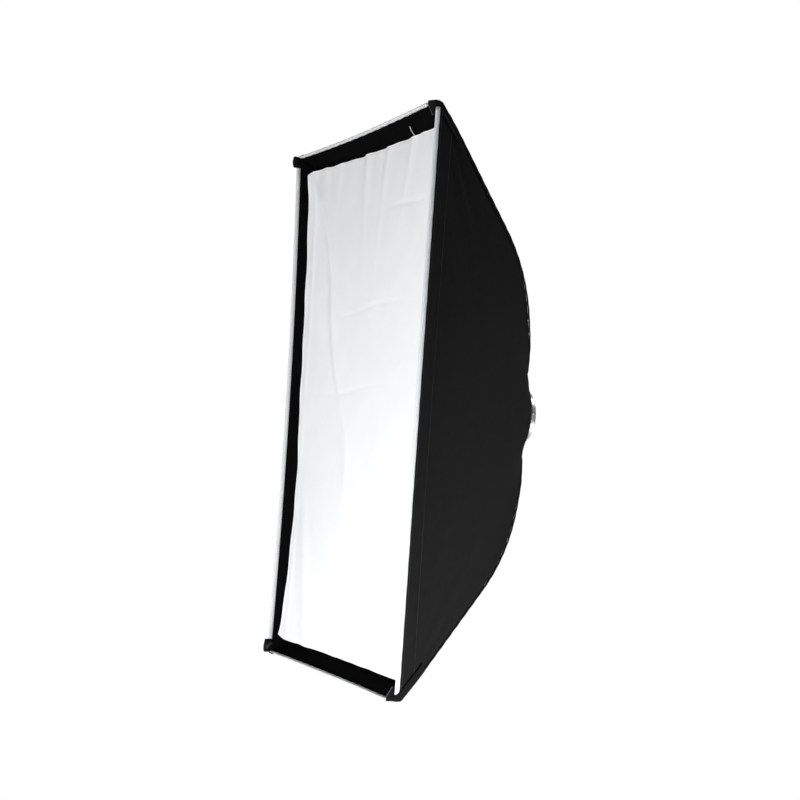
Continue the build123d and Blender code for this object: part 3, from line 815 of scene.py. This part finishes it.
def pocket_strap(corner):
    """Webbing folded over the seam behind the corner, ending in a cut edge."""
    ahead, wings, normals = pocket_axes(corner)
    ridge = (normals[0] + normals[1]) / (1 + normals[0].dot(normals[1]))
    lift = 0.0003
    rows = []
    for distance in np.linspace(-0.006, POCKET_LENGTH, 24):
        base = seam_point(corner, distance) if distance > 0 else seam_point(corner, 0) + ahead * distance
        start = base + wings[0] * SIDE_WING + normals[0] * lift
        end = base + wings[1] * END_WING + normals[1] * lift
        shoulder_a = base + wings[0] * 0.0030 + normals[0] * (lift + 0.0003)
        shoulder_b = base + wings[1] * 0.0030 + normals[1] * (lift + 0.0003)
        crest = base + ridge * (lift + 0.0002)
        middle_a = (start + shoulder_a) / 2 + normals[0] * 0.0003
        middle_b = (end + shoulder_b) / 2 + normals[1] * 0.0006
        row = [start, middle_a, shoulder_a, crest, shoulder_b, middle_b, end]
        rows.append([over_rim(point + ahead * max(0.0, (RIM_Y - point[1]) / ahead[1])) for point in row])
    side_x, side_z = CORNERS[corner]
    piece = cloth_grid(np.array(rows), f"{corner}_pocket_strap", WEBBING, (side_x, 0, side_z))
    thicken(piece, 0.0013 if CORNERS[corner][1] > 0 else 0.0022, 1)
    piece.modifiers["thickness"].use_rim = True
    bevel = piece.modifiers.new("edges", "BEVEL")
    bevel.width, bevel.segments, bevel.limit_method = 0.0005, 2, "ANGLE"
    return fit(piece, "softbox", "black_webbing")


def pocket_cap(corner):
    """Thick fold of webbing over the corner's front, round at the corner itself."""
    side_x, side_z = CORNERS[corner]
    corner_x, corner_z = side_x * HALF_WIDTH, side_z * HALF_HEIGHT
    proud = 0.0018 if side_x > 0 else 0.0065
    bm = bmesh.new()
    outline = CAP_OUTLINES[corner]
    verts = [bm.verts.new((corner_x - side_x * a, RIM_Y - proud, corner_z - side_z * b)) for a, b in outline]
    front = bm.faces.new(verts)
    grown = bmesh.ops.extrude_face_region(bm, geom=[front])
    moved = [item for item in grown["geom"] if isinstance(item, bmesh.types.BMVert)]
    bmesh.ops.translate(bm, verts=moved, vec=(0, proud + 0.0075, 0))
    bmesh.ops.recalc_face_normals(bm, faces=bm.faces[:])
    bmesh.ops.bevel(
        bm, geom=bm.edges[:], offset=0.0020, segments=3, profile=0.5,
        affect="EDGES", material=-1, clamp_overlap=True,
    )
    bmesh.ops.triangulate(bm, faces=[face for face in bm.faces if len(face.verts) > 4])
    uv = bm.loops.layers.uv.new("cloth")
    for face in bm.faces:
        for loop in face.loops:
            loop[uv].uv = (loop.vert.co.x + loop.vert.co.y, loop.vert.co.z)
    piece = finish_mesh(f"{corner}_pocket_cap", bm, WEBBING)
    fit(piece, "softbox", "black_webbing", f"{corner}_corner_pocket")
    # On the right caps a slight ridge runs along the cap's inner edge. It is coloured lighter grey as a
    # painted highlight of the lit edge.
    if side_x > 0:
        first, last = (np.array(outline[place]) for place in (1, 2))
        edge = [first * (1 - share) + last * share for share in np.linspace(0.04, 0.96, 12)]
        path = np.array([(corner_x - a, RIM_Y - proud + 0.0002, corner_z - side_z * b) for a, b in edge])
        out, forward = np.array([-0.7, 0, -side_z * 0.7]), np.array([0, -1, 0])
        rings = along_path(path, [out] * 12, [forward] * 12, round_profile(0.0007, 8))
        fit(tube(f"{corner}_pocket_selvage_highlight", rings, SELVAGE_HIGHLIGHT), "softbox", "black_webbing")


def pocket_lining(corner):
    """Inner side of the pocket: webbing across the corner that hides the end of the rod."""
    ahead, wings, normals = pocket_axes(corner)
    side_x, side_z = CORNERS[corner]
    rows = []
    for distance in np.linspace(-0.006, 0.034, 12):
        base = seam_point(corner, max(0.0, distance)) + ahead * min(0.0, distance)
        first = base + wings[0] * 0.0125 - normals[0] * 0.0008
        last = base + wings[1] * 0.0125 - normals[1] * 0.0008
        inner = seam_point(corner, max(0.0, distance), 0.0205) + ahead * min(0.0, distance)
        line = []
        for share in np.linspace(0, 1, 9):
            point = first * (1 - share) ** 2 + inner * 4.0 * share * (1 - share) + last * share ** 2
            point /= (1 - share) ** 2 + 4.0 * share * (1 - share) + share ** 2
            line.append(over_rim(point + ahead * max(0.0, (RIM_Y + 0.0005 - point[1]) / ahead[1])))
        rows.append(line)
    piece = cloth_grid(np.array(rows), f"{corner}_pocket_lining", LOOP_TAPE, (-side_x, 0, -side_z))
    thicken(piece, 0.0012, 1)
    fit(piece, "softbox", "black_webbing")


def pocket_stitches(corner):
    """Box of thread that sews the strap down, on both panels."""
    _, wings, normals = pocket_axes(corner)
    for name, wing, normal, wing_width in zip(("side", "end"), wings, normals, (SIDE_WING, END_WING)):
        stitched_at = wing_width - 0.0028
        points = []
        for distance in np.linspace(0.012, POCKET_LENGTH - 0.004, 27):
            points.append(over_rim(seam_point(corner, distance) + wing * stitched_at + normal * 0.0022))
        for share in np.linspace(1, 0.1, 10):
            turned = seam_point(corner, POCKET_LENGTH - 0.004) + wing * stitched_at * share
            points.append(turned + normal * 0.0022)
        title = f"{corner}_pocket_{name}_stitches"
        piece = stitch_row(title, points, [normal] * len(points), BLACK_THREAD, pitch=0.0034)
        fit(piece, "softbox", "black_webbing")


# ---- Rod sleeves ----
def rod_sleeve(corner):
    """Cloth tube round the rod, with the sewn fin that hangs it from the seam."""
    distances = np.linspace(0.020, 0.5595, 150)
    frames = [seam_frame(corner, d) for d in distances]
    path = [seam_point(corner, d, ROD_DEPTH) for d in distances]
    profile = [(0.0040 * math.cos(a), 0.0036 * math.sin(a)) for a in np.linspace(0.35, math.tau - 0.35, 14)]
    profile += [(0.0056, -0.0007), (0.0078, -0.0006), (0.0078, 0.0006), (0.0056, 0.0007)]
    rings = []
    for number, (point, (_, out, across)) in enumerate(zip(path, frames)):
        slack = 1 + 0.05 * math.sin(number * 0.9) + 0.04 * math.sin(number * 2.3)
        rings.append([point + out * u + across * v * slack for u, v in profile])
    piece = tube(f"{corner}_rod_sleeve_cloth", np.array(rings), NYLON)
    return fit(piece, "softbox", "black_webbing", f"{corner}_rod_sleeve")


def loop_place(corner):
    """Distance along the seam at which a baffle loop sits on the rod's sleeve."""
    low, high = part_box(f"{corner}_baffle_loop")
    middle_y = (low[1] + high[1]) / 2
    distances = np.linspace(0.1, SEAM_STRAIGHT, 200)
    ys = [seam(d, ROD_DEPTH)[1] for d in distances]
    return float(np.interp(middle_y, ys, distances))


def baffle_loop(corner):
    """Webbing loop sewn round the sleeve, with its tail turned towards the baffle."""
    middle = loop_place(corner)
    rings = []
    for distance in np.linspace(middle - 0.009, middle + 0.009, 10):
        _, out, across = seam_frame(corner, distance)
        point = seam_point(corner, distance, ROD_DEPTH)
        rings.append([point + out * 0.0050 * u + across * 0.0048 * v for u, v in round_profile(1, 24)])
    piece = tube(f"{corner}_webbing_loop", np.array(rings), WEBBING)
    return fit(piece, "softbox", "black_webbing", f"{corner}_baffle_loop")


# ---- Front diffuser ----
DIFFUSER_Y = RIM_Y + DIFFUSER_SET_BACK


def diffuser_depth(x, z):
    """How far the sheet lies behind its middle plane: deeper at the top, its left corners drawn forward."""
    top = max(0.0, z / HALF_HEIGHT) ** 4
    left = max(0.0, -x / HALF_WIDTH) ** 2
    middle = math.cos(math.pi / 2 * min(1.0, abs(z + 0.05) / HALF_HEIGHT))
    hollow = 0.0045 * math.exp(-(((z + 0.15) / 0.10) ** 2))
    corner = (0.004 if z > 0 else 0.009) * (abs(z) / 0.43) ** 7
    return 0.0095 * top * (1 - left) + left * (0.0055 * middle - 0.0035 + hollow - corner)


def recess_half(axis_side, step, y):
    """Half size of the recess inside the loop tape at a Y."""
    point = at_depth(axis_side, step, y, FABRIC + 0.0030)
    return abs(point[0] if is_upright(axis_side) else point[2])


def diffuser_grid(columns, rows):
    """Slack sheet between its four held edges, gathered along the top."""
    us, vs = np.linspace(-1, 1, columns), np.linspace(-1, 1, rows)
    top = np.array([recess_half("top", u * 0.96, DIFFUSER_Y + 0.0080) for u in us])
    bottom = np.array([recess_half("bottom", u * 0.96, DIFFUSER_Y + 0.0065) for u in us])
    right = np.array([recess_half("right", v * 0.96, DIFFUSER_Y + 0.0095 * max(0, v) ** 4) for v in vs])
    left = np.array([recess_half("left", v * 0.96, DIFFUSER_Y - 0.002) for v in vs])
    grid = np.zeros((rows, columns, 3))
    for j, v in enumerate(vs):
        for i, u in enumerate(us):
            half_x = right[j] if u > 0 else left[j]
            half_z = top[i] if v > 0 else bottom[i]
            x, z = u * (half_x - 0.0008), v * (half_z - 0.0008)
            grid[j, i] = (x, DIFFUSER_Y + diffuser_depth(x, z), z)
    return grid


def diffuser_wrinkles(grid):
    """Height of the sheet's wrinkles: gathers at the top, long soft folds, and creases from being packed."""
    x, z = grid[:, :, 0], grid[:, :, 2]
    half_x, half_z = abs(x).max(), abs(z).max()
    from_top, from_side = half_z - z, half_x - abs(x)
    from_bottom = half_z + z
    gather = np.sin(x / 0.0092 + 1.3 * np.sin(x / 0.031)) + 0.6 * np.sin(x / 0.0157 + 2)
    height = 0.0011 * gather * np.exp(-from_top / 0.035)
    height += 0.0004 * (np.sin(x / 0.0131) + np.sin(x / 0.021 + 1)) * np.exp(-from_bottom / 0.025)
    sag = np.sin(z / 0.017 + 2.2 * np.sin(z / 0.19)) + 0.6 * np.sin(z / 0.029 + 1)
    height += 0.0009 * sag * np.exp(-from_side / 0.020)
    tuck = half_x + x - 0.030 - 0.008 * np.sin(z / 0.12)
    height += 0.0016 * np.exp(-(tuck / 0.007) ** 2)
    drop = np.clip((0.42 - z) / 0.50, 0, 1)
    crease = x + 0.262 - 0.225 * drop ** 0.8 + 0.012 * np.sin(z / 0.06)
    long_fold = np.exp(-(np.abs(crease) / 0.020) ** 1.6) - 0.5 * np.exp(-((crease + 0.035) / 0.026) ** 2)
    height += 0.0056 * long_fold * np.clip((z + 0.20) / 0.25, 0, 1) * np.clip((0.43 - z) / 0.06, 0, 1)
    low = x + 0.16 + 0.28 * (z + 0.42)
    height += 0.0030 * np.exp(-(low / 0.024) ** 2) * np.clip((-0.05 - z) / 0.18, 0, 1)
    for place, slope, reach, size in ((-0.15, 0.10, 0.07, 0.0022), (-0.04, -0.12, 0.10, 0.0030),
                                      (0.05, 0.06, 0.13, 0.0026), (0.15, 0.16, 0.09, 0.0024)):
        fold = x - place - slope * (z - 0.42)
        height += size * np.exp(-(fold / 0.011) ** 2) * np.exp(-from_top / reach)
    packed = ((0.315, 0.14, 0.10, 0.0008), (0.156, 0.05, 0.14, 0.0007), (0.021, -0.03, 0.18, 0.0008))
    for place, middle, reach, size in packed:
        bend = z - place - 0.004 * np.sin(x / 0.05) - 0.03 * x
        height -= size * np.exp(-(bend / 0.0035) ** 2) * np.exp(-((x - middle) / reach) ** 2)
    held = np.minimum(1, from_side / 0.004) * np.minimum(1, np.minimum(from_top, from_bottom) / 0.004)
    return height * held


def edge_wobble(grid):
    """Edges that bow inwards between the corners and ripple where the hem is gathered."""
    x, z = grid[:, :, 0].copy(), grid[:, :, 2].copy()
    half_x, half_z = abs(x).max(), abs(z).max()
    near_side = (abs(x) / half_x) ** 6
    near_end = (abs(z) / half_z) ** 10
    slack_z = 1 - (z / half_z) ** 8
    left = x < 0
    grid[:, :, 0] -= np.sign(x) * near_side * slack_z * np.where(left, 0.0030, 0.0020)
    grid[:, :, 0] -= np.sign(x) * near_side * 0.0007 * np.sin(z / 0.034 + 1.5 * np.sin(z / 0.12))
    slack_x = 1 - (x / half_x) ** 8
    ripple = np.where(z > 0, 0.0006, 0.0003) * (np.sin(x / 0.017) + 0.7 * np.sin(x / 0.0098 + 1))
    grid[:, :, 2] -= np.sign(z) * near_end * (0.0020 * slack_x + ripple)
    left_corner = (np.clip(-x, 0, None) * abs(z) / (half_x * half_z)) ** 14
    grid[:, :, 2] -= np.sign(z) * 0.0075 * left_corner
    return grid


def diffuser_sheet():
    """White front sheet in the recess behind the rim."""
    grid = edge_wobble(diffuser_grid(150, 210))
    lift = diffuser_wrinkles(grid)
    grid[:, :, 1] -= lift
    piece = cloth_grid(grid, "front_diffuser_cloth", DIFFUSION, (0, -1, 0))
    thicken(piece, 0.0006, -1)
    fit(piece, "front_diffuser_body", "white_diffusion", "front_diffuser")
    return piece, grid


def grid_border(grid):
    """Points round the edge of a grid, and the direction out of it at each."""
    line = np.concatenate([grid[0, :-1], grid[:-1, -1], grid[-1, :0:-1], grid[:0:-1, 0]])
    near = np.concatenate([
        grid[2, :-1], grid[:-1, -3], grid[-3, :0:-1], grid[:0:-1, 2],
    ])
    out = line - near
    out[:, 1] = 0
    out /= np.linalg.norm(out, axis=1)[:, None] + 1e-9
    return line, out


def diffuser_hem(grid):
    """Rolled edge of the sheet and the hook tape behind it."""
    line, out = grid_border(grid)
    ahead = [np.array([0.0, 1.0, 0.0])] * len(line)
    roll = along_path(line + np.array([0, 0.0002, 0]), out, ahead, round_profile(0.0011, 8))
    edge = tube("front_diffuser_edge", roll, HEM, closed=True)
    fit(edge, "front_diffuser_body", "white_hem")
    band = [(-0.0105, 0.0034), (-0.0105, 0.0046), (-0.0010, 0.0030), (-0.0010, 0.0018)]
    rings = along_path(line, out, ahead, band)
    hook = tube("front_diffuser_hook_tape", rings, LOOP_TAPE, closed=True)
    fit(hook, "front_diffuser_body", "white_hem", "front_diffuser_hem")
    stitches_at = line - out * 0.0042 + np.array([0, -0.0002, 0])
    piece = stitch_row(
        "front_diffuser_stitches", stitches_at, [(0, -1, 0)] * len(line), WHITE_THREAD,
        pitch=0.0042, radius=0.0003,
    )
    fit(piece, "front_diffuser_body", "white_hem")
    return [edge, hook, piece]


def loose_thread(grid):
    """End of thread left standing out of the top hem near the right corner."""
    start = grid[-1, int(grid.shape[1] * 0.78)]
    curl = [(-0.004 * math.sin(t * 2.6), -0.003 - 0.010 * t, 0.018 * t) for t in np.linspace(0, 1, 9)]
    points = [start + np.array(step) for step in curl]
    rings = along_path(points, [(1, 0, 0)] * 9, [(0, 1, 0)] * 9, round_profile(0.0006, 6))
    fit(tube("loose_thread_end", rings, WHITE_THREAD), "front_diffuser_body", "white_hem")


# ---- Inner baffle ----
def baffle():
    """Inner sheet with a bound edge, held by its four straps."""
    low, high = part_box("inner_baffle")
    us, vs = np.linspace(-1, 1, 70), np.linspace(-1, 1, 100)
    half_x, half_z = high[0], high[2]
    grid = np.zeros((100, 70, 3))
    for j, v in enumerate(vs):
        for i, u in enumerate(us):
            x = u * (half_x - 0.006 * (1 - v * v))
            z = v * (half_z - 0.008 * (1 - u * u))
            pull = 0.0014 * math.sin(8 * math.atan2(abs(z), abs(x))) * (u * v) ** 2
            sag = 0.003 * (1 - u * u) * (1 - v * v) * math.sin(3 * v + 1)
            grid[j, i] = (x, low[1] + 0.0004 + pull + sag, z)
    piece = cloth_grid(grid, "inner_baffle_cloth", DIFFUSION, (0, -1, 0))
    thicken(piece, 0.0006, -1)
    fit(piece, "inner_baffle_body", "white_diffusion", "inner_baffle")
    line, out = grid_border(grid)
    ahead = [np.array([0.0, 1.0, 0.0])] * len(line)
    band = [(-0.0135, -0.0003), (0.0004, -0.0004), (0.0009, 0.0004), (0.0004, 0.0014), (-0.0135, 0.0012)]
    hem = tube("inner_baffle_binding", along_path(line, out, ahead, band), HEM, closed=True)
    fit(hem, "inner_baffle_body", "white_hem", "inner_baffle_hem")
    stitches = stitch_row(
        "inner_baffle_stitches", line - out * 0.0115 + np.array([0, -0.0005, 0]), [(0, -1, 0)] * len(line),
        WHITE_THREAD, pitch=0.005, radius=0.0003,
    )
    fit(stitches, "inner_baffle_body", "white_hem")


def baffle_strap(corner):
    """Ribbed elastic from a corner of the baffle to its hook, slightly waved."""
    side_x, side_z = CORNERS[corner]
    low, high = (np.array(end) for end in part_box(f"{corner}_baffle_strap"))
    middle, half = (low + high) / 2, (high - low) / 2
    outwards = np.array([side_x * WIDTH_SHARE, 0, side_z * HEIGHT_SHARE])
    across = np.array([-side_z * HEIGHT_SHARE, 0, side_x * WIDTH_SHARE])
    width = 0.016
    length = 2 * (half[0] - width / 2 * HEIGHT_SHARE) / WIDTH_SHARE
    shares = np.linspace(-0.5, 0.5, 40)
    path = [middle + outwards * length * s + np.array([0, 0.0004 * math.sin(s * 30), 0]) for s in shares]
    edge = width / 2 - 0.0004
    profile = [(-edge, -0.0005), (-edge / 3, -0.0006), (edge / 3, -0.0006), (edge, -0.0005)]
    profile += [(edge, 0.0005), (edge / 3, 0.0006), (-edge / 3, 0.0006), (-edge, 0.0005)]
    rings = along_path(path, [across] * 40, [np.array([0, 1, 0])] * 40, profile)
    piece = tube(f"{corner}_elastic_strap", rings, ELASTIC)
    return fit(piece, "inner_baffle_body", "white_elastic", f"{corner}_baffle_strap")


# ---- Cuff at the speed ring ----
def gathered_cuff():
    """Elastic channel round the ring, gathered into small pleats."""
    low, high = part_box("fabric_cuff")
    radius, y_front, y_rear = high[0], low[1], high[1]
    rings = []
    for turn in np.linspace(0, math.tau, 360, endpoint=False):
        pleat = 0.5 + 0.5 * math.sin(turn * 60 + 1.2 * math.sin(turn * 7))
        out = np.array([math.cos(turn), 0, math.sin(turn)])
        inner, outer = radius - 0.0016, radius + 0.0006 + 0.0012 * pleat
        middle = (y_front + y_rear) / 2
        profile = [
            (inner, y_front - 0.001), (outer + 0.0016, y_front - 0.0008), (outer + 0.0018, middle),
            (outer + 0.0004, y_rear), (outer - 0.0014, y_rear + 0.0006 * pleat), (inner, y_rear - 0.0006),
        ]
        rings.append([out * r + np.array([0, y, 0]) for r, y in profile])
    piece = tube("gathered_fabric_cuff", np.array(rings), NYLON, closed=True)
    return fit(piece, "softbox", "black_nylon", "fabric_cuff")


# ---- Build the soft pieces ----
for side_name in SIDES:
    shell_panel(side_name)
    rim_tape(side_name)
    rim_stitches(side_name)
    loop_band(side_name)
    band_stitches(side_name)
for corner_name in CORNERS:
    seam_ridge(corner_name)
    pocket_strap(corner_name)
    pocket_cap(corner_name)
    pocket_lining(corner_name)
    pocket_stitches(corner_name)
    rod_sleeve(corner_name)
    baffle_loop(corner_name)
    baffle_strap(corner_name)
front_sheet, front_grid = diffuser_sheet()
front_edges = diffuser_hem(front_grid)
loose_thread(front_grid)
baffle()
gathered_cuff()

# ---- Finishes of the CAD's own hard parts ----
HARD_FINISHES = {
    "speed_ring": powder_coat(),
    "retaining_screws": drawn_steel("bright_steel", (0.56, 0.56, 0.57), 0.28),
    "friction_washer": natural_nylon(),
    "bayonet_insert": turned_metal("turned_aluminium", (0.86, 0.87, 0.88), 0.34),
}
HARD_FINISHES["retaining_ring"] = HARD_FINISHES["speed_ring"]
STEEL_ROD = drawn_steel("spring_steel", (0.44, 0.44, 0.45), 0.34)
RUBBER = moulded("black_rubber", (0.006, 0.006, 0.006), 0.95)
PLASTIC = moulded("black_plastic", (0.018, 0.018, 0.019), 0.42)
for corner_name in CORNERS:
    HARD_FINISHES[f"{corner_name}_rod"] = STEEL_ROD
    HARD_FINISHES[f"{corner_name}_rod_tip"] = RUBBER
    HARD_FINISHES[f"{corner_name}_rod_collar"] = HARD_FINISHES["retaining_screws"]
    HARD_FINISHES[f"{corner_name}_rod_socket"] = HARD_FINISHES["retaining_screws"]
    HARD_FINISHES[f"{corner_name}_baffle_clip"] = PLASTIC
for node_name, finish in HARD_FINISHES.items():
    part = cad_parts[node_name]
    part.data.materials.clear()
    part.data.materials.append(finish)


# ---- Camera ----
def place_camera():
    """Camera in front and to the right of the softbox, rolled a little."""
    camera = bpy.data.objects.new("camera", bpy.data.cameras.new("camera"))
    bpy.context.scene.collection.objects.link(camera)
    camera.data.sensor_width = 36
    camera.data.lens = 71.79
    camera.location = (2.4846, -1.2997, -0.1126)
    target = Vector((-0.0194, -0.2057, 0.0110))
    look = (target - camera.location).to_track_quat("-Z", "Y")
    roll = Quaternion((0, 0, 1), math.radians(4.046))
    camera.rotation_mode = "QUATERNION"
    camera.rotation_quaternion = look @ roll
    camera.data.clip_end = 100
    bpy.context.scene.camera = camera


# ---- Light ----
def soft_light(name, location, target, size, power, spread=180):
    """Square area light aimed at a point, its beam narrowed to a spread in degrees."""
    light = bpy.data.lights.new(name, "AREA")
    light.shape, light.size, light.energy, light.spread = "SQUARE", size, power, math.radians(spread)
    lamp = bpy.data.objects.new(name, light)
    bpy.context.scene.collection.objects.link(lamp)
    lamp.location = location
    lamp.rotation_euler = (Vector(target) - Vector(location)).to_track_quat("-Z", "Y").to_euler()
    lamp.visible_camera = False
    return lamp


def studio_world():
    """White backdrop; the room that lights the softbox is dim, darkest on the right."""
    world = bpy.data.worlds.new("studio")
    bpy.context.scene.world = world
    world.use_nodes = True
    place = node(world, "ShaderNodeTexCoord")
    facing = node(
        world, "ShaderNodeVectorMath", [(0, place.outputs["Generated"])], operation="DOT_PRODUCT"
    )
    facing.inputs[1].default_value = (0.86, 0.45, 0.24)
    shift = node(world, "ShaderNodeMath", [(0, facing.outputs["Value"])], operation="MULTIPLY_ADD")
    shift.inputs[1].default_value = 0.5
    shift.inputs[2].default_value = 0.5
    ramp = node(world, "ShaderNodeValToRGB", [("Fac", shift.outputs[0])])
    for stop, position, grey in zip(ramp.color_ramp.elements, (0.30, 0.62), (0.22, 0.16)):
        stop.position, stop.color = position, (grey, grey, grey, 1)
    path = node(world, "ShaderNodeLightPath")
    backdrop = node(
        world, "ShaderNodeMix", [("Factor", path.outputs["Is Camera Ray"]), (6, ramp.outputs["Color"])],
        data_type="RGBA",
    )
    backdrop.inputs[7].default_value = (1, 1, 1, 1)
    background = world.node_tree.nodes["Background"]
    world.node_tree.links.new(backdrop.outputs[2], background.inputs["Color"])


def pale_floor():
    """Plain pale floor, well below the hanging softbox."""
    bm = bmesh.new()
    bmesh.ops.create_circle(bm, cap_ends=True, segments=96, radius=3.0)
    bmesh.ops.translate(bm, verts=bm.verts[:], vec=(0, 0, -1.6))
    material = new_material("pale_floor", (0.86, 0.86, 0.86), 0.8)
    place = object_place(material)
    shade_between(material, noise(material, place, 0.4), (0.84, 0.84, 0.84), (0.88, 0.88, 0.88))
    finish_mesh("floor", bm, material, smooth=False)


place_camera()
studio_world()
pale_floor()
soft_light("low_front", (1.0, -1.9, -1.40), (0, -0.3, -0.60), 1.0, 88)
soft_light("low_right", (1.55, 0.0, -1.25), (0.22, -0.16, -0.44), 0.5, 3.8, 42)
soft_light("overhead_rear", (0.5, 1.1, 1.5), (0.0, 0.03, 0.0), 1.0, 0.9, 16)
bpy.context.scene.view_settings.view_transform = "Standard"
